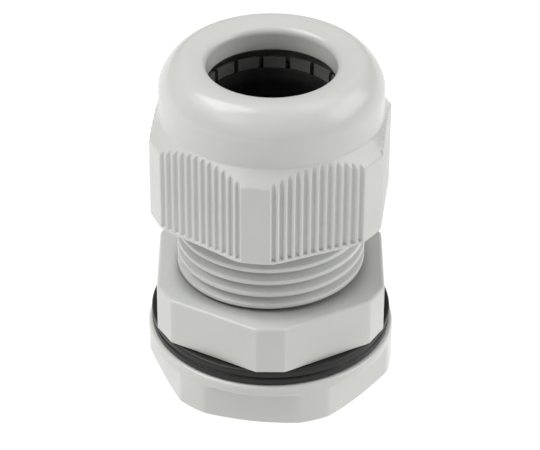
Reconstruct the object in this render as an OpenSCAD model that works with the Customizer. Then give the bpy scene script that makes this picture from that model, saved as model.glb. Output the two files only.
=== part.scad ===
// Metric cable gland, M20 x 1.5: hexagonal body, slotted clamping insert with a rubber
// sealing insert, dome nut, flat gasket and lock nut. The dome nut is loosely closed.
// Millimetres, +Z up. The origin is the centre of the free end of the entry spigot.

/* [Threads] */
// Outside radius of both threads of the body
thread_r = 9.95; // [9.85:0.01:10.00]
// Radius at the bottom of the thread grooves
core_r = 9.05; // [8.95:0.01:9.10]
// Axial step of one thread turn
pitch = 1.5; // [1.4:0.05:1.6]
// Radius of the tapped bores of both nuts
tapped_r = 10.15; // [10.12:0.01:10.20]

/* [Body] */
// Length of the threaded entry spigot below the collar
entry_l = 8; // [8:0.5:12]
// Distance across the flats of the collar
collar_af = 24; // [23.5:0.1:24.5]
// Height of the collar
collar_h = 5.45; // [5.0:0.05:5.6]
// Height of the mouth of the upper spigot above the underside of the collar
mouth_h = 19.5; // [19.3:0.1:19.6]
// Radius of the cable way through the body
way_r = 6.8; // [6.6:0.1:7.0]
// Radius of the chamber that guides the clamping insert
guide_r = 8.05; // [8.03:0.01:8.08]

/* [Dome nut] */
// Open gap between the collar and the lower rim of the dome nut
nut_gap = 8; // [7.8:0.05:8.15]
// Distance across the flats of the dome nut
nut_af = 24; // [23.8:0.1:24.4]
// Height of the dome nut
nut_h = 16.65; // [16.55:0.05:16.85]
// Radius of the foot of the dome
dome_r = 11.6; // [11.4:0.05:11.6]
// Radius of the throat that the cable passes
throat_r = 6.7; // [6.5:0.05:6.8]
// Radius of the grip grooves in the flats
grip_r = 0.32; // [0.2:0.02:0.34]
// Number of grip grooves in each flat
grip_n = 12; // [8:1:12]

/* [Clamping insert] */
// Width of the slots between the fingers
slot_w = 0.5; // [0.48:0.01:0.54]
// Inner radius of the fingers
finger_r = 7.1; // [7.08:0.01:7.15]
// Radius of the round knuckles that stand for the living hinges
knuckle_r = 0.4; // [0.35:0.01:0.42]

/* [Seals] */
// Bore radius of the rubber sealing insert
seal_r = 6; // [5.6:0.05:6.1]
// Height of the sealing insert above the hinges of the fingers
seal_h = 11.1; // [10.9:0.05:11.2]
// Outside radius of the flat gasket
gasket_r = 12.8; // [12.5:0.05:13.0]
// Thickness of the flat gasket
gasket_t = 1.8; // [1.6:0.05:1.8]

/* [Lock nut] */
// Outside radius of the lock nut flange
lock_r = 13.15; // [13.0:0.05:13.4]
// Distance across the flats of the lock nut
lock_af = 24.3; // [24.0:0.1:24.6]
// Height of the lock nut
lock_h = 5.3; // [4.8:0.05:5.35]
// Thickness of the lock nut flange
flange_t = 1.3; // [1.0:0.05:1.5]

/* [Hidden] */
$fn = 96;
front = -90;
fit_gap = 0.05;
corner_chord = 3.09;
nut_turn = -6.9;
lock_turn = -9.2;
collar_top = entry_l + collar_h;
mouth_z = entry_l + mouth_h;
nut_z = collar_top + nut_gap;
lock_z = entry_l - gasket_t - lock_h - 2 * fit_gap;
pilot_r = core_r - 0.45;
pilot_l = 1;
chamber_z = entry_l + 7.5;

thread_seg = 36;
ridge_base = 0.89 * pitch;
ridge_crest = 0.3 * pitch;
tooth_base = 0.72 * pitch;
tooth_crest = 0.11 * pitch;
upper_thread_z = collar_top - pitch / 2;
lower_thread_z = pilot_l + 0.9;

shoulder_h = 10.75;
shoulder_drop = 1.84;
arch_h = 13.45;
crown_r = 9.15;
lip_r = 0.8;
lip_tilt = 17;
lip_h = nut_h - 0.25;
throat_h = 13.85;
relief_h = 10.95;
grip_pitch = 0.88;

fingers = 16;
finger_step = 360 / fingers;
finger_turn = 87.6;
hinge_r = 7.45;
hinge_z = nut_z + 0.55;

// Distance from the axis to the small flat that cuts each corner of a hexagon
function corner_plane(af) = af / sqrt(3) - corner_chord / 2 / tan(60);

// Hexagon with cut corners, one of them facing the given angle
module hex_outline(af, turn) {
  c = corner_plane(af);
  polygon([for (k = [0 : 5]) for (s = [-1, 1])
    let (a = turn + 60 * k, t = s * corner_chord / 2)
    [c * cos(a) - t * sin(a), c * sin(a) + t * cos(a)]]);
}

// Height factor of a thread ridge, which runs out over a twelfth of a turn at both ends
function runout(i, n) = min(1, min(i, n - i) / 3 + 0.02);

// Helical ridge between two radii; its centre leaves height z0 at the front of the part
module thread_ridge(base, crest, w_base, w_crest, z0, turns) {
  n = round(turns * thread_seg);
  points = [for (i = [0 : n])
    let (a = front + 360 * i / thread_seg,
         z = z0 + pitch * i / thread_seg,
         k = runout(i, n),
         c = base + (crest - base) * k,
         w = w_base + (w_crest - w_base) * k)
    for (p = [[base, -w_base / 2], [c, -w / 2], [c, w / 2], [base, w_base / 2]])
      [p[0] * cos(a), p[0] * sin(a), z + p[1]]];
  quads = [for (i = [0 : n - 1]) for (j = [0 : 3])
    [4 * i + j, 4 * i + (j + 1) % 4, 4 * i + 4 + (j + 1) % 4, 4 * i + 4 + j]];
  sides = concat([for (q = quads) [q[0], q[1], q[2]]],
                 [for (q = quads) [q[0], q[2], q[3]]]);
  ends = [[0, 3, 2], [0, 2, 1], [4 * n, 4 * n + 1, 4 * n + 2], [4 * n, 4 * n + 2, 4 * n + 3]];
  outward = concat(sides, ends);
  polyhedron(points = points,
    faces = crest > base ? outward : [for (t = outward) [t[2], t[1], t[0]]],
    convexity = 10);
}

// Ridge of an outside thread
module outer_ridge(z0, turns) {
  thread_ridge(core_r - 0.25, thread_r, ridge_base, ridge_crest, z0, turns);
}

// Ridge of a tapped bore, centred in the grooves of the outside thread
module inner_ridge(z0, turns) {
  thread_ridge(tapped_r + 0.25, core_r + 0.17, tooth_base, tooth_crest, z0, turns);
}

module gland_body() {
  color("lightgray") {
    rotate_extrude()
      polygon([[way_r, 0], [pilot_r - 0.3, 0], [pilot_r, 0.3], [pilot_r, pilot_l],
               [core_r, pilot_l + 0.15], [core_r, mouth_z - 0.5], [core_r - 0.3, mouth_z],
               [guide_r + 0.35, mouth_z], [guide_r, mouth_z - 0.9], [guide_r, chamber_z],
               [way_r, chamber_z]]);
    difference() {
      translate([0, 0, entry_l])
        linear_extrude(collar_h)
          hex_outline(collar_af, front);
      translate([0, 0, entry_l - 1])
        cylinder(r = core_r - 0.4, h = collar_h + 2);
      for (k = [0 : 11])
        rotate([0, 0, front + 30 * k])
          translate([(k % 2 == 0 ? corner_plane(collar_af) : collar_af / 2) - 0.35,
                     -9, collar_top])
            rotate([0, 45, 0])
              cube([2, 18, 2]);
    }
    outer_ridge(lower_thread_z, 3.75);
    outer_ridge(upper_thread_z, 9);
  }
}

// Point at the share t of a smooth curve from p to s, which q and r pull to themselves
function cubic(p, q, r, s, t) =
  pow(1 - t, 3) * p + 3 * pow(1 - t, 2) * t * q + 3 * (1 - t) * t * t * r + pow(t, 3) * s;

// Rounded dome with its throat, drawn from the lower rim of the nut
module dome_shell() {
  rotate_extrude()
    polygon(concat(
      [[9, shoulder_h - 1], [dome_r, shoulder_h - 0.8]],
      [for (i = [0 : 15])
        cubic([dome_r, arch_h], [dome_r, arch_h + 1.2], [crown_r + 1.05, nut_h],
              [crown_r, nut_h], i / 15)],
      [for (i = [0 : 5])
        let (q = lip_tilt + (90 - lip_tilt) * i / 5)
        [throat_r + lip_r * (1 - sin(q)), lip_h - lip_r * (1 - cos(q))]],
      [[throat_r, throat_h], [9, throat_h - 1.2]]));
}

module dome_nut() {
  color("gainsboro")
    translate([0, 0, nut_z]) {
      difference() {
        union() {
          intersection() {
            linear_extrude(shoulder_h)
              hex_outline(nut_af, front + nut_turn);
            rotate_extrude()
              polygon([[0, 0], [12.6, 0], [13.2, 0.25], [13.2, shoulder_h - shoulder_drop],
                       [dome_r, shoulder_h], [0, shoulder_h]]);
          }
          dome_shell();
        }
        rotate_extrude()
          polygon([[0, -1], [tapped_r + 0.45, -1], [tapped_r + 0.45, 0], [tapped_r, 0.35],
                   [tapped_r, relief_h], [9.4, relief_h + 1.5], [throat_r - 0.01, throat_h],
                   [0, throat_h]]);
        for (k = [0 : 5])
          rotate([0, 0, front + nut_turn + 30 + 60 * k])
            for (i = [0 : grip_n - 1])
              translate([nut_af / 2 + 0.02, (i - (grip_n - 1) / 2) * grip_pitch, 0.4])
                cylinder(r = grip_r, h = nut_h, $fn = 24);
      }
      inner_ridge(upper_thread_z + 6.5 * pitch - nut_z, 3.5);
    }
}

module claw_ring() {
  color("dimgray")
    translate([0, 0, hinge_z])
      difference() {
        rotate_extrude()
          polygon([[6.3, -1.6], [guide_r - 0.37, -1.6], [guide_r - 0.07, -1.3],
                   [guide_r - 0.07, 0], [6.3, 0]]);
        for (i = [1 : fingers])
          rotate([0, 0, finger_turn + finger_step * (i - 1)])
            translate([hinge_r, 0, 0])
              rotate([90, 0, 0])
                cylinder(r = knuckle_r + fit_gap, h = 2.6, center = true);
      }
}

// Sector of one finger, narrowed by half a slot on both sides
module finger_sector() {
  half = finger_step / 2;
  reach = 10;
  side = reach * sin(half) - slot_w / 2 * cos(half);
  depth = reach * cos(half) + slot_w / 2 * sin(half);
  polygon([[slot_w / 2 / sin(half), 0], [depth, side], [depth, -side]]);
}

// One finger of the clamping insert, with the knuckle of its living hinge at the foot
module finger(i) {
  color("dimgray")
    rotate([0, 0, finger_turn + finger_step * (i - 1)])
      translate([0, 0, hinge_z]) {
        intersection() {
          rotate_extrude()
            polygon([[finger_r, 0.08], [7.85, 0.08], [7.85, 5], [8.1, 5.5], [8.9, 10],
                     [8.9, 10.6], [7.4, 12.15], [finger_r, 12.15]]);
          linear_extrude(13)
            finger_sector();
        }
        translate([hinge_r, 0, 0])
          rotate([90, 0, 0])
            cylinder(r = knuckle_r, h = 2.3, center = true, $fn = 32);
      }
}

module sealing_insert() {
  outer = finger_r - 0.15;
  color([0.15, 0.15, 0.15])
    translate([0, 0, hinge_z])
      rotate_extrude()
        polygon([[seal_r + 0.5, fit_gap], [outer - 0.05, fit_gap], [outer, 0.4],
                 [outer, seal_h - 0.15], [outer - 0.15, seal_h], [outer - 0.35, seal_h],
                 [seal_r, seal_h - 1.1], [seal_r, 1.4]]);
}

module gasket() {
  edge = 0.15;
  mid = gasket_t / 2;
  color([0.12, 0.12, 0.12])
    translate([0, 0, entry_l - gasket_t - fit_gap])
      rotate_extrude()
        polygon([[tapped_r + 0.1, 0], [gasket_r - edge, 0], [gasket_r, edge],
                 [gasket_r, mid - edge], [gasket_r - edge, mid], [gasket_r, mid + edge],
                 [gasket_r, gasket_t - edge], [gasket_r - edge, gasket_t],
                 [tapped_r + 0.1, gasket_t]]);
}

module lock_nut() {
  edge = 0.35;
  chamfer = 0.42;
  mouth = 0.55;
  color("lightgray")
    translate([0, 0, lock_z]) {
      difference() {
        intersection() {
          union() {
            linear_extrude(lock_h - flange_t / 2)
              rotate([0, 0, lock_turn])
                circle(r = lock_af / sqrt(3), $fn = 6);
            translate([0, 0, lock_h - flange_t])
              cylinder(r = lock_r + 1, h = flange_t);
          }
          rotate_extrude()
            polygon([[0, 0], [lock_af / 2 - 0.1, 0], [lock_r, chamfer], [lock_r, lock_h - edge],
                     [lock_r - edge, lock_h], [0, lock_h]]);
        }
        rotate_extrude()
          polygon([[0, -1], [tapped_r + mouth, -1], [tapped_r + mouth, 0], [tapped_r, mouth],
                   [tapped_r, lock_h - mouth], [tapped_r + mouth, lock_h],
                   [tapped_r + mouth, lock_h + 1], [0, lock_h + 1]]);
      }
      inner_ridge(lower_thread_z + pitch / 2 - lock_z, 1.25);
    }
}

gland_body();
dome_nut();
claw_ring();
finger(1);  // finger_01
finger(2);  // finger_02
finger(3);  // finger_03
finger(4);  // finger_04
finger(5);  // finger_05
finger(6);  // finger_06
finger(7);  // finger_07
finger(8);  // finger_08
finger(9);  // finger_09
finger(10);  // finger_10
finger(11);  // finger_11
finger(12);  // finger_12
finger(13);  // finger_13
finger(14);  // finger_14
finger(15);  // finger_15
finger(16);  // finger_16
sealing_insert();
gasket();
lock_nut();
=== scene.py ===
"""Cable gland: smooth moulded meshes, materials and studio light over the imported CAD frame."""
import math

import bpy
from mathutils import Euler, Matrix, Vector


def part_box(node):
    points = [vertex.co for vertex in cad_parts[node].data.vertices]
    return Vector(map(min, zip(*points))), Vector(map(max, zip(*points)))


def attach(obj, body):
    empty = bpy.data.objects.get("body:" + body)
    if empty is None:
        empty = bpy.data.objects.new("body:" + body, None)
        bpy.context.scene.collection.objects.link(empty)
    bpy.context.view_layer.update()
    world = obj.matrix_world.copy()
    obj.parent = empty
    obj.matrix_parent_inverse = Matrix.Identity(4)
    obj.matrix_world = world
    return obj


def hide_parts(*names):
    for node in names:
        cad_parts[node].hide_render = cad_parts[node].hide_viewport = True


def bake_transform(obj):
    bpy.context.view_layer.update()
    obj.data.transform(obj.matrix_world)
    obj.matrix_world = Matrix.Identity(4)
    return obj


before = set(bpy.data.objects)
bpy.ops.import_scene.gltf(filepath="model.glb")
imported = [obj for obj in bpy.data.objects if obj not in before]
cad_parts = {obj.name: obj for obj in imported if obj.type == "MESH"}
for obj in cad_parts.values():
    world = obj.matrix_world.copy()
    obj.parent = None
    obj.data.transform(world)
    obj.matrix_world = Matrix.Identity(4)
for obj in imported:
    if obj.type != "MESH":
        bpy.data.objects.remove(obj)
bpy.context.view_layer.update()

MM = 0.001


def span(node):
    """Lowest and highest corner of a CAD node, in millimetres."""
    low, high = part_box(node)
    return low / MM, high / MM


BODY_HIGH = span("gland_body")[1]
NUT_LOW, NUT_HIGH = span("dome_nut")
SEAL_LOW, SEAL_HIGH = span("sealing_insert")
GASKET_LOW, GASKET_HIGH = span("gasket")
LOCK_LOW, LOCK_HIGH = span("lock_nut")

# From here on sizes are in millimetres and angles in degrees, unless a comment says otherwise.
# _R is a radius, _Z a height above the origin and _FLAT the distance from the axis to a flat.
# _H is a height: of a feature from end to end, or of a point above the lower end of its piece.
FRONT = -90
CORNER_CHORD = 3.09
SHARP_ANGLE = 50

# Threads. A _HALF is measured along the axis, from the middle of a turn.
PITCH = 1.5
THREAD_R = 9.95
CORE_R = 9.05
TAPPED_R = 10.15
THREAD_FADE = 30
THREAD_SINK = 0.25
ROOT_HALF = 0.72
FLANK_HALF = 0.58
CREST_HALF = 0.24
TAPPED_ROOT_HALF = 0.54
TAPPED_CREST_HALF = 0.09
TAPPED_PLAY = 0.17

# Gland body
GASKET_GAP = 0.05
COLLAR_Z = round(GASKET_HIGH.z + GASKET_GAP, 2)
COLLAR_H = 5.45
COLLAR_FLAT = BODY_HIGH.x
PILOT_R = CORE_R - 0.45
PILOT_H = 1.0
WAY_R = 6.8
GUIDE_R = 8.05
CHAMBER_Z = COLLAR_Z + 7.5
ENTRY_THREAD_Z = PILOT_H + 0.9
ENTRY_TURNS = 3.75
UPPER_THREAD_Z = COLLAR_Z + COLLAR_H - PITCH / 2
UPPER_TURNS = 9

# Dome nut
NUT_TURN = -6.9
NUT_FLAT = 12.0
NUT_THREAD_Z = COLLAR_Z + COLLAR_H + 6 * PITCH
NUT_THREAD_TURNS = 3.5
SHOULDER_H = 10.75
SHOULDER_SLOPE = 1.84 / 1.6
DOME_R = 11.6
ARCH_H = 13.45
CROWN_R = 9.15
CROWN_DROP = 0.25
LIP_R = 0.8
LIP_TILT = 17
THROAT_R = 6.7
THROAT_H = 13.85
RELIEF_H = 10.95
ROOF_R = 9.4

# Lower rim of the dome nut, where a cone cuts the corners of the hexagon. RIM_STEPS gives heights
# above the rim with the inset of the outside; MOUTH_STEPS gives how far the bore is set back, with
# the height above the rim.
RIM_R = 12.6
RIM_SLOPE = 2.4
RIM_STEPS = ((0.0, 0.14), (0.04, 0.05), (0.14, 0.0), (0.25, 0.0))
MOUTH_STEPS = ((0.0, 0.4), (0.03, 0.3), (0.38, 0.04), (0.48, 0.0))

# Grip grooves. GRIP_STEPS gives heights above their foot with the share of their depth there.
# GRIP_FLOOR and GRIP_EDGE are shares of half a pitch, from the middle of a groove. None is cut
# within GRIP_MARGIN of the hexagon's uncut corner.
GRIP_COUNT = 12
GRIP_PITCH = 0.88
GRIP_DEPTH = 0.3
GRIP_FOOT = 0.36
GRIP_STEPS = ((0.05, 0.35), (0.10, 0.78), (0.17, 1.0))
GRIP_FLOOR = 0.28
GRIP_EDGE = 0.74
GRIP_MARGIN = 1.78

# Lock nut
LOCK_TURN = -9.2
LOCK_FLAT = 12.15
LOCK_CHAMFER_H = 0.42
LOCK_MOUTH = 0.55
LOCK_THREAD_TURNS = 1.25
FLANGE_H = 1.3

# Gasket, clamping insert and seal
GASKET_GROOVE_HALF = 0.16
GASKET_GROOVE_DEPTH = 0.2
FINGERS = 16
FINGER_TURN = 87.6
SEAL_R = 6.0

# Looks. A _SIZE is how far across the features of a noise are, and NOISE_LOW to NOISE_HIGH is the
# part of its range that counts.
MOTTLE_SIZE = 6.0
GLOSS_SIZE = 2.2
NOISE_LOW = 0.3
NOISE_HIGH = 0.7
MOTTLE_DARK = 0.975
MOTTLE_LIGHT = 1.02
# Values that mark_edges() stores. The painted highlight along edges fades in between them.
EDGE_HIGHLIGHT_START = 0.03
EDGE_HIGHLIGHT_FULL = 0.14
BUMP_HEIGHT = 0.03


def smoothstep(low, high, value):
    """Rises smoothly from 0 at low to 1 at high."""
    t = min(max((value - low) / (high - low), 0), 1)
    return t * t * (3 - 2 * t)


def soft_min(a, b, blend):
    """The smaller of two lengths, with the change from one to the other rounded off."""
    near = max(blend - abs(a - b), 0) / blend
    return min(a, b) - near * near * blend / 4


def corner_plane(flat):
    """Distance from the axis to the small facet that cuts a corner of a hexagon."""
    return flat / math.cos(math.radians(30)) - CORNER_CHORD / 2 / math.tan(math.radians(60))


def from_corner(angle, turn):
    """Angle to the nearest corner of a hexagon, one of whose corners faces turn."""
    a = (angle - turn) % 60
    return min(a, 60 - a)


def hexagon(angle, flat, turn, blend=0.1):
    """Radius of a hexagon with cut and slightly rounded corners."""
    off = from_corner(angle, turn)
    side = flat / math.cos(math.radians(30 - off))
    facet = corner_plane(flat) / math.cos(math.radians(off))
    return soft_min(side, facet, blend)


def bend(start, corner, end, steps):
    """Points of a rounded corner, with both of its ends."""
    points = []
    for i in range(steps + 1):
        t = i / steps
        points.append(tuple(
            (1 - t) ** 2 * s + 2 * t * (1 - t) * c + t * t * e
            for s, c, e in zip(start, corner, end)))
    return points


def cubic(start, leave, arrive, end, steps):
    """Points of a smooth curve that leaves one point and arrives at another."""
    points = []
    for i in range(steps + 1):
        t = i / steps
        k = 1 - t
        points.append(tuple(
            k ** 3 * s + 3 * k * k * t * c + 3 * k * t * t * d + t ** 3 * e
            for s, c, d, e in zip(start, leave, arrive, end)))
    return points


def towards(point, other, length):
    """The point that lies a length away from one point on the way to another."""
    gap = math.dist(point, other)
    share = min(length / gap, 0.5)
    return tuple(p + (o - p) * share for p, o in zip(point, other))


def rounded(corners, steps=4):
    """Closed profile of (radius, height, rounding) corners, as (radius, height) points."""
    points = []
    for i, (r, z, size) in enumerate(corners):
        before = corners[i - 1][:2]
        after = corners[(i + 1) % len(corners)][:2]
        if size:
            points += bend(towards((r, z), before, size), (r, z),
                           towards((r, z), after, size), steps)
        else:
            points.append((r, z))
    return points


def stitch(rows, width, closed):
    """Quads between neighbouring loops of width points, the last joined to the first if closed."""
    last = rows if closed else rows - 1
    quads = []
    for i in range(last):
        for j in range(width):
            a, b = i * width, (i + 1) % rows * width
            k = (j + 1) % width
            quads.append((a + j, b + j, b + k, a + k))
    return quads


def at(radius, angle, height):
    """A point from its cylindrical coordinates."""
    a = math.radians(angle)
    return (radius * math.cos(a), radius * math.sin(a), height)


def ring(column, angles):
    """Watertight ring; column(angle) gives the closed profile at that angle."""
    columns = [column(a) for a in angles]
    verts = [at(r, a, z) for a, points in zip(angles, columns) for r, z in points]
    return verts, stitch(len(columns), len(columns[0]), True)


def sector(points, low, high, steps):
    """A piece of a ring between two angles, closed by a face at each end."""
    angles = [low + (high - low) * i / steps for i in range(steps + 1)]
    verts = [at(r, a, z) for a in angles for r, z in points]
    return verts, stitch(len(angles), len(points), False) + end_caps(len(angles), len(points))


def end_caps(rows, width):
    """A face over the first loop and one over the last."""
    first = tuple(range(width))
    last = tuple(reversed(range((rows - 1) * width, rows * width)))
    return [first, last]


def ridge(section, base, z0, turns, per_turn=72):
    """Helical ridge with this section; both ends sink to the base radius over THREAD_FADE."""
    count = round(turns * per_turn)
    fade = per_turn * THREAD_FADE / 360
    verts = []
    for i in range(count + 1):
        rise = smoothstep(0, fade, min(i, count - i))
        for r, z in section:
            verts.append(at(base + (r - base) * rise, FRONT + 360 * i / per_turn,
                            z0 + PITCH * i / per_turn + z))
    return verts, stitch(count + 1, len(section), False) + end_caps(count + 1, len(section))


def outer_ridge(z0, turns):
    """Outside thread: a flat-topped ridge with rounded edges and a filleted root."""
    base = CORE_R - THREAD_SINK
    toe = CORE_R - 0.03
    section = rounded([
        (base, -ROOT_HALF, 0), (toe, -ROOT_HALF, 0), (CORE_R, -FLANK_HALF, 0.1),
        (THREAD_R, -CREST_HALF, 0.13), (THREAD_R, CREST_HALF, 0.13),
        (CORE_R, FLANK_HALF, 0.1), (toe, ROOT_HALF, 0), (base, ROOT_HALF, 0)], 3)
    return ridge(section, base, z0, turns)


def inner_ridge(z0, turns):
    """Thread of a tapped bore, which runs in the grooves of the outside thread."""
    base = TAPPED_R + THREAD_SINK
    crest = CORE_R + TAPPED_PLAY
    section = rounded([
        (base, TAPPED_ROOT_HALF, 0), (crest, TAPPED_CREST_HALF, 0.1),
        (crest, -TAPPED_CREST_HALF, 0.1), (base, -TAPPED_ROOT_HALF, 0)], 3)
    return ridge(section, base, z0, turns)


def mark_edges(mesh):
    """Stores how far each vertex stands out from its neighbours, for the painted highlight along
    edges.
    """
    lean = [0.0] * len(mesh.vertices)
    links = [0] * len(mesh.vertices)
    for edge in mesh.edges:
        first, second = (mesh.vertices[k] for k in edge.vertices)
        way = (second.co - first.co).normalized()
        lean[first.index] -= way.dot(first.normal)
        lean[second.index] += way.dot(second.normal)
        links[first.index] += 1
        links[second.index] += 1
    layer = mesh.attributes.new("standing_out", "FLOAT", "POINT")
    layer.data.foreach_set("value", [a / max(n, 1) for a, n in zip(lean, links)])


def piece(name, shapes, material, body, node):
    """One mesh object made of several shapes, which stands for a CAD node.

    It rides on body; with None, it rides on nothing.
    """
    verts, faces = [], []
    for shape_verts, shape_faces in shapes:
        faces += [tuple(len(verts) + k for k in face) for face in shape_faces]
        verts += [tuple(c * MM for c in v) for v in shape_verts]
    mesh = bpy.data.meshes.new(name)
    mesh.from_pydata(verts, [], faces)
    mesh.validate()
    mesh.shade_smooth()
    mesh.set_sharp_from_angle(angle=math.radians(SHARP_ANGLE))
    mark_edges(mesh)
    mesh.materials.append(material)
    obj = bpy.data.objects.new(name, mesh)
    bpy.context.scene.collection.objects.link(obj)
    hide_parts(node)
    if body:
        obj.modifiers.new("even shading", "WEIGHTED_NORMAL")
        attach(obj, body)
    return obj


def even_angles(count):
    """A full circle in this many equal steps."""
    return [360 * i / count for i in range(count)]


def hexagon_angles(flat, turn, on_flat, on_facet):
    """Angles that fall on the edges of a cut hexagon.

    The steps are even along a flat, and closer towards the edges of a corner's facet.
    """
    corner = corner_plane(flat)
    half = (flat * math.tan(math.radians(30))
            - CORNER_CHORD / 2 / math.sin(math.radians(60)))
    angles = []
    for k in range(6):
        for i in range(on_facet):
            t = -math.cos(math.pi * i / on_facet) * CORNER_CHORD / 2
            angles.append(turn + 60 * k + math.degrees(math.atan2(t, corner)))
        for i in range(on_flat):
            t = -half + 2 * half * i / on_flat
            angles.append(turn + 60 * k + 30 + math.degrees(math.atan2(t, flat)))
    return angles


def groove(t):
    """Depth of the grip grooves at a distance t from the middle of a flat."""
    if abs(t) > GRIP_COUNT * GRIP_PITCH / 2:
        return 0.0
    off = abs((t / GRIP_PITCH) % 1 - 0.5) * 2
    return GRIP_DEPTH * (1 - smoothstep(GRIP_FLOOR, GRIP_EDGE, off))


def nut_wall(angle):
    """Radius of the plain nut at an angle, and how deep a grip groove cuts there."""
    turn = FRONT + NUT_TURN
    off = 30 - from_corner(angle, turn)
    t = NUT_FLAT * math.tan(math.radians(off))
    half = NUT_FLAT * math.tan(math.radians(30)) - GRIP_MARGIN
    cut = groove(t) if t < half else 0.0
    return hexagon(angle, NUT_FLAT, turn), cut / math.cos(math.radians(off))


def nut_foot(wall, cut):
    """Outside of the nut from its lower rim up to the full depth of the grip grooves."""
    points = []
    for z, inset in RIM_STEPS + ((GRIP_FOOT, 0.0),):
        points.append((soft_min(wall, RIM_R + RIM_SLOPE * z, 0.05) - inset, z))
    for step, share in GRIP_STEPS:
        points.append((wall - cut * share, GRIP_FOOT + step))
    return points


def nut_shoulder(radius):
    """Outside of the nut up the flat, over the edge of the shoulder and up to the dome."""
    edge = (radius, SHOULDER_H - (radius - DOME_R) * SHOULDER_SLOPE)
    foot = (DOME_R, SHOULDER_H)
    low = 0.75
    high = edge[1] - 0.15
    fillet = 0.12
    points = [(radius, low + (high - low) * k / 4) for k in range(4)]
    points += bend((radius, high), edge, towards(edge, foot, 0.2), 4)
    points.append(towards(edge, foot, math.dist(edge, foot) / 2))
    points += bend(towards(foot, edge, fillet), foot, (DOME_R, SHOULDER_H + fillet), 3)
    return points


def dome_arch(height):
    """The straight foot of the dome and its arch up to the crown."""
    leave = (DOME_R, ARCH_H + 1.2)
    arrive = (CROWN_R + 1.05, height)
    return [(DOME_R, SHOULDER_H + 0.6)] + cubic((DOME_R, ARCH_H), leave, arrive,
                                                (CROWN_R, height), 24)


def crown(height, end, steps=6):
    """Points that sink gently from the top of the arch to another point, without either."""
    points = []
    for i in range(1, steps):
        share = 1 - i / steps
        points.append((end[0] + (CROWN_R - end[0]) * share,
                       height - (height - end[1]) * (1 - share) ** 2))
    return points


def throat_lip(height, steps=8):
    """Round lip from the crown down into the throat."""
    points = []
    for i in range(steps + 1):
        q = math.radians(LIP_TILT + (90 - LIP_TILT) * i / steps)
        points.append((THROAT_R + LIP_R * (1 - math.sin(q)), height - LIP_R * (1 - math.cos(q))))
    return points


def dome_profile(height):
    """The dome over its crown and down the throat to the roof of the chamber."""
    lip_h = height - CROWN_DROP
    lip = throat_lip(lip_h)
    edge = 0.1
    points = dome_arch(height) + crown(height, lip[0]) + lip
    points.append((THROAT_R, (THROAT_H + lip_h - LIP_R) / 2))
    points += bend((THROAT_R, THROAT_H + edge), (THROAT_R, THROAT_H),
                   (THROAT_R + edge, THROAT_H - edge / 2), 2)
    return points


def nut_bore():
    """Inside of the nut, from the roof of the chamber down to the rim."""
    roof = (ROOF_R, RELIEF_H + 1.5)
    wall = [(TAPPED_R, RELIEF_H), (TAPPED_R, RELIEF_H / 2)]
    return [roof] + wall + [(TAPPED_R + back, z) for back, z in MOUTH_STEPS]


def nut_column(angle):
    """Profile of the dome nut at an angle, measured from the plane of its rim."""
    wall, cut = nut_wall(angle)
    points = nut_foot(wall, cut) + nut_shoulder(wall - cut)
    points += dome_profile(NUT_HIGH.z - NUT_LOW.z) + nut_bore()
    return [(r, z + NUT_LOW.z) for r, z in points]


def make_dome_nut(material):
    """Dome nut with its ribbed flats, dome, throat and tapped bore."""
    angles = hexagon_angles(NUT_FLAT, FRONT + NUT_TURN, on_flat=122, on_facet=12)
    shapes = [ring(nut_column, angles), inner_ridge(NUT_THREAD_Z, NUT_THREAD_TURNS)]
    piece("dome_nut_shell", shapes, material, "dome_nut", "dome_nut")


def core_profile():
    """Profile of the tube of the body: up the outside to its mouth, then down the inside."""
    mouth = BODY_HIGH.z
    chamfer = 0.3
    step_h = 0.15
    bevel_h = 0.5
    funnel, funnel_h = 0.35, 0.9
    return rounded([
        (WAY_R, 0, 0.15), (PILOT_R - chamfer, 0, 0.1), (PILOT_R, chamfer, 0.1),
        (PILOT_R, PILOT_H, 0.1), (CORE_R, PILOT_H + step_h, 0.1),
        (CORE_R, mouth - bevel_h, 0.15), (CORE_R - chamfer, mouth, 0.12),
        (GUIDE_R + funnel, mouth, 0.12), (GUIDE_R, mouth - funnel_h, 0.3),
        (GUIDE_R, CHAMBER_Z, 0.2), (WAY_R, CHAMBER_Z, 0.2)])


def collar_column(angle):
    """Profile of the hexagonal collar at an angle; its inner side lies within the tube."""
    wall = hexagon(angle, COLLAR_FLAT, FRONT)
    top = COLLAR_Z + COLLAR_H
    inside = CORE_R - 0.4
    return rounded([
        (inside, COLLAR_Z, 0), (wall, COLLAR_Z, 0.14), (wall, top, 0.4), (inside, top, 0)], 6)


def make_body(material):
    """Gland body: threaded tube, hexagonal collar and both outside threads."""
    angles = hexagon_angles(COLLAR_FLAT, FRONT, on_flat=24, on_facet=16)
    profile = core_profile()
    shapes = [ring(lambda angle: profile, even_angles(144)),
              ring(collar_column, angles),
              outer_ridge(ENTRY_THREAD_Z, ENTRY_TURNS),
              outer_ridge(UPPER_THREAD_Z, UPPER_TURNS)]
    piece("gland_body_shell", shapes, material, "gland_body", "gland_body")


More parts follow.
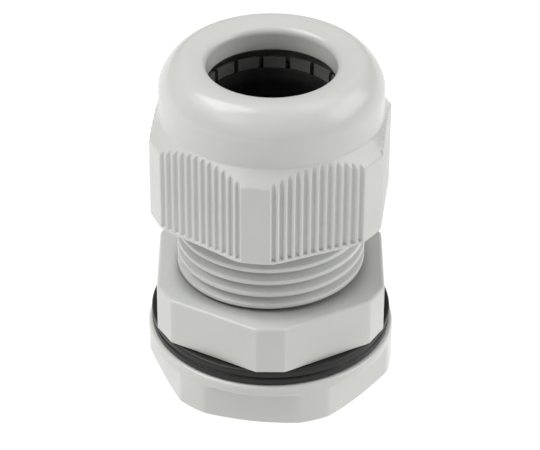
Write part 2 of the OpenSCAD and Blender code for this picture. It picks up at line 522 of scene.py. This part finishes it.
def lock_column(angle):
    """Profile of the lock nut at an angle: hexagon below, round flange on top.

    The ledge between them fades out where the hexagon's corners reach the flange.
    """
    low, top = LOCK_LOW.z, LOCK_HIGH.z
    outside = LOCK_HIGH.x
    off = from_corner(angle, LOCK_TURN)
    wall = soft_min(LOCK_FLAT / math.cos(math.radians(30 - off)), outside, 0.12)
    ledge = top - FLANGE_H
    chamfer = LOCK_FLAT - 0.1
    rise = LOCK_CHAMFER_H * (wall - chamfer) / (outside - chamfer)
    ledge_share = smoothstep(0.0, 0.3, outside - wall)
    mouth_r = TAPPED_R + LOCK_MOUTH
    return rounded([
        (mouth_r, low, 0.1), (chamfer, low, 0.12), (wall, low + rise, 0.12),
        (wall, ledge, 0.12 * ledge_share + 0.01),
        (outside, ledge + 0.1 + 0.08 * ledge_share, 0.16),
        (outside, top, 0.42), (mouth_r, top, 0.1),
        (TAPPED_R, top - LOCK_MOUTH, 0.1), (TAPPED_R, low + LOCK_MOUTH, 0.1)])


def make_lock_nut(material):
    """Lock nut with its flange and tapped bore."""
    shapes = [ring(lock_column, even_angles(360)),
              inner_ridge(ENTRY_THREAD_Z + PITCH / 2, LOCK_THREAD_TURNS)]
    piece("lock_nut_shell", shapes, material, "lock_nut", "lock_nut")


def make_gasket(material):
    """Flat rubber ring with a moulded groove around its edge."""
    low, top, outside = GASKET_LOW.z, GASKET_HIGH.z, GASKET_HIGH.x
    mid = (low + top) / 2
    inside = TAPPED_R + 0.1
    profile = rounded([
        (inside, low, 0.15), (outside, low, 0.28), (outside, mid - GASKET_GROOVE_HALF, 0.1),
        (outside - GASKET_GROOVE_DEPTH, mid, 0.08), (outside, mid + GASKET_GROOVE_HALF, 0.1),
        (outside, top, 0.28), (inside, top, 0.15)])
    shape = ring(lambda angle: profile, even_angles(180))
    piece("gasket_ring", [shape], material, "gasket", "gasket")


def make_seal(material):
    """Sealing insert in one sector for each finger."""
    low, top, outside = SEAL_LOW.z, SEAL_HIGH.z, SEAL_HIGH.x
    profile = rounded([
        (SEAL_R + 0.5, low, 0), (outside - 0.05, low, 0), (outside, low + 0.35, 0.1),
        (outside, top - 0.15, 0.05), (outside - 0.15, top, 0.1), (outside - 0.35, top, 0.12),
        (SEAL_R, top - 1.1, 0.5), (SEAL_R, low + 1.35, 0.4)])
    half = 180 / FINGERS
    for i in range(FINGERS):
        middle = FINGER_TURN + 2 * half * i
        name = f"seal_sector_{i + 1:02d}"
        obj = piece(name, [sector(profile, middle - half, middle + half, 6)], material,
                    None, "sealing_insert")
        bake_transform(obj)


def shader_node(tree, kind, **values):
    """A shader node with its plain properties set, then its inputs by name."""
    made = tree.nodes.new(kind)
    for key, value in values.items():
        if hasattr(made, key):
            setattr(made, key, value)
        else:
            made.inputs[key.replace("_", " ")].default_value = value
    return made


def noise(tree, coords, size, detail):
    """Noise whose features are about size millimetres across."""
    made = shader_node(tree, "ShaderNodeTexNoise", Scale=1 / (size * MM), Detail=detail)
    tree.links.new(coords.outputs["Object"], made.inputs["Vector"])
    return made.outputs["Fac"]


def ramp(tree, source, low, high, first, second):
    """Maps a value range to a colour or grey range."""
    made = shader_node(tree, "ShaderNodeValToRGB")
    stops = made.color_ramp.elements
    stops[0].position, stops[0].color = low, first
    stops[1].position, stops[1].color = high, second
    tree.links.new(source, made.inputs["Fac"])
    return made.outputs["Color"]


def grey(value):
    """An opaque grey, as a colour with alpha."""
    return (value, value, value, 1)


def shade(colour, factor):
    """A colour made lighter or darker by a factor, with alpha."""
    return tuple(c * factor for c in colour) + (1,)


def colour_with_edge_highlight(tree, coords, colour, edge):
    """Faintly mottled colour with a painted highlight: lighter at the edges that mark_edges()
    found.

    The mesh of a CAD node carries no such marks, so it shows the mottling alone.
    """
    edge_mark = shader_node(tree, "ShaderNodeAttribute", attribute_name="standing_out")
    mottling = noise(tree, coords, MOTTLE_SIZE, detail=3.0)
    mottle = ramp(tree, mottling, NOISE_LOW, NOISE_HIGH,
                  shade(colour, MOTTLE_DARK), shade(colour, MOTTLE_LIGHT))
    edge_highlight = ramp(tree, edge_mark.outputs["Fac"], EDGE_HIGHLIGHT_START, EDGE_HIGHLIGHT_FULL, grey(0), grey(1))
    edges = shader_node(tree, "ShaderNodeMix", data_type="RGBA")
    edges.inputs["B"].default_value = shade(colour, edge)
    tree.links.new(edge_highlight, edges.inputs["Factor"])
    tree.links.new(mottle, edges.inputs["A"])
    return edges.outputs["Result"]


def moulded(name, colour, rough, spread, grain, depth, edge=1.0, specular=0.5):
    """Moulded plastic or rubber: faint mottling, uneven gloss, fine grain and a painted highlight
    along edges.

    rough and spread give the middle and half the range of the roughness, grain the size of the
    bumps, depth their strength, and edge the brightness of the painted highlight along edges
    against the plain surface.
    """
    material = bpy.data.materials.new(name)
    material.use_nodes = True
    tree = material.node_tree
    shader = tree.nodes["Principled BSDF"]
    shader.inputs["Specular IOR Level"].default_value = specular
    coords = shader_node(tree, "ShaderNodeTexCoord")
    tree.links.new(colour_with_edge_highlight(tree, coords, colour, edge), shader.inputs["Base Color"])
    gloss = ramp(tree, noise(tree, coords, GLOSS_SIZE, detail=4.0), NOISE_LOW, NOISE_HIGH,
                 grey(rough - spread), grey(rough + spread))
    tree.links.new(gloss, shader.inputs["Roughness"])
    bump = shader_node(tree, "ShaderNodeBump", Strength=depth, Distance=BUMP_HEIGHT * MM)
    tree.links.new(noise(tree, coords, grain, detail=5.0), bump.inputs["Height"])
    tree.links.new(bump.outputs["Normal"], shader.inputs["Normal"])
    return material


def paint(names, material):
    """Gives CAD nodes that keep their shape a finished material."""
    for name in names:
        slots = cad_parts[name].data.materials
        slots.clear()
        slots.append(material)


def make_floor():
    """Plain near-white studio floor: a square of 3 m, a little below the part."""
    low = -14 * MM
    half = 1500 * MM
    mesh = bpy.data.meshes.new("studio_floor")
    mesh.from_pydata([(-half, -half, low), (half, -half, low), (half, half, low),
                      (-half, half, low)], [], [(0, 1, 2, 3)])
    material = bpy.data.materials.new("studio_white")
    material.use_nodes = True
    shader = material.node_tree.nodes["Principled BSDF"]
    shader.inputs["Base Color"].default_value = grey(0.1)
    shader.inputs["Roughness"].default_value = 0.9
    shader.inputs["Emission Color"].default_value = grey(1)
    shader.inputs["Emission Strength"].default_value = 0.95
    mesh.materials.append(material)
    floor = bpy.data.objects.new("studio_floor", mesh)
    bpy.context.scene.collection.objects.link(floor)


def softbox(name, azimuth, elevation, width, height, power):
    """Rectangular area light that faces the middle of the part; sizes in metres, power in watts."""
    distance = 500 * MM
    centre = Vector((0, 0, 20 * MM))
    a, e = math.radians(azimuth), math.radians(elevation)
    away = Vector((math.cos(e) * math.cos(a), math.cos(e) * math.sin(a), math.sin(e)))
    data = bpy.data.lights.new(name, "AREA")
    data.shape = "RECTANGLE"
    data.size = width
    data.size_y = height
    data.energy = power
    light = bpy.data.objects.new(name, data)
    light.location = centre + away * distance
    light.rotation_euler = away.to_track_quat("Z", "Y").to_euler()
    bpy.context.scene.collection.objects.link(light)


def make_lights():
    """Weak white backdrop and five softboxes, brighter on the left."""
    world = bpy.data.worlds.new("studio")
    world.use_nodes = True
    backdrop = world.node_tree.nodes["Background"]
    backdrop.inputs["Color"].default_value = grey(1)
    backdrop.inputs["Strength"].default_value = 0.14
    bpy.context.scene.world = world
    bpy.context.scene.view_settings.view_transform = "Standard"
    softbox("left_light", 180, 62, 0.30, 0.30, 1.48)
    softbox("left_strip", 202, 43, 0.56, 0.20, 0.68)
    softbox("right_light", 0, 27, 0.40, 0.25, 0.92)
    softbox("right_top_light", 0, 60, 0.30, 0.30, 0.43)
    softbox("right_front_light", -20, 20, 0.30, 0.30, 0.17)


def make_camera():
    """Looks down at the front corner of the collar, with the nut's dome in the upper half."""
    elevation = 35.475
    distance = 283.21 * MM
    tilt_up = 1.6395
    pan_left = 0.0218
    roll = 0.286
    focal_length = 174.85
    e = math.radians(elevation)
    target = Vector((0, 0, COLLAR_Z * MM))
    data = bpy.data.cameras.new("camera")
    data.lens = focal_length
    data.sensor_width = 36
    camera = bpy.data.objects.new("camera", data)
    camera.location = target + Vector((0, -math.cos(e), math.sin(e))) * distance
    look = Euler((math.radians(90 - elevation + tilt_up), 0, 0)).to_matrix()
    pan = Matrix.Rotation(math.radians(pan_left), 3, "Y")
    turn = Matrix.Rotation(math.radians(roll), 3, "Z")
    camera.rotation_euler = (look @ pan @ turn).to_euler()
    bpy.context.scene.collection.objects.link(camera)
    bpy.context.scene.camera = camera


# edge sets how bright each material's painted highlight along its edges is.
housing = moulded("light_grey_polyamide", (0.636, 0.642, 0.612),
                  rough=0.23, spread=0.025, grain=0.35, depth=0.10, edge=1.08)
# The claw's colour is set as dark as its fingers look deep in the nut's throat, far darker than the
# housing.
claw = moulded("claw_polyamide_darkened", (0.15, 0.15, 0.145),
               rough=0.36, spread=0.05, grain=0.35, depth=0.12)
seal_rubber = moulded("seal_rubber", (0.006, 0.006, 0.006),
                      rough=0.55, spread=0.08, grain=0.25, depth=0.25, edge=1.3, specular=0.12)
gasket_rubber = moulded("gasket_rubber", (0.016, 0.016, 0.015),
                        rough=0.42, spread=0.08, grain=0.25, depth=0.25, edge=1.8, specular=0.3)

make_camera()
make_body(housing)
make_dome_nut(housing)
make_lock_nut(housing)
make_gasket(gasket_rubber)
make_seal(seal_rubber)
paint(["claw_ring"] + [f"finger_{i + 1:02d}" for i in range(FINGERS)], claw)
make_floor()
make_lights()
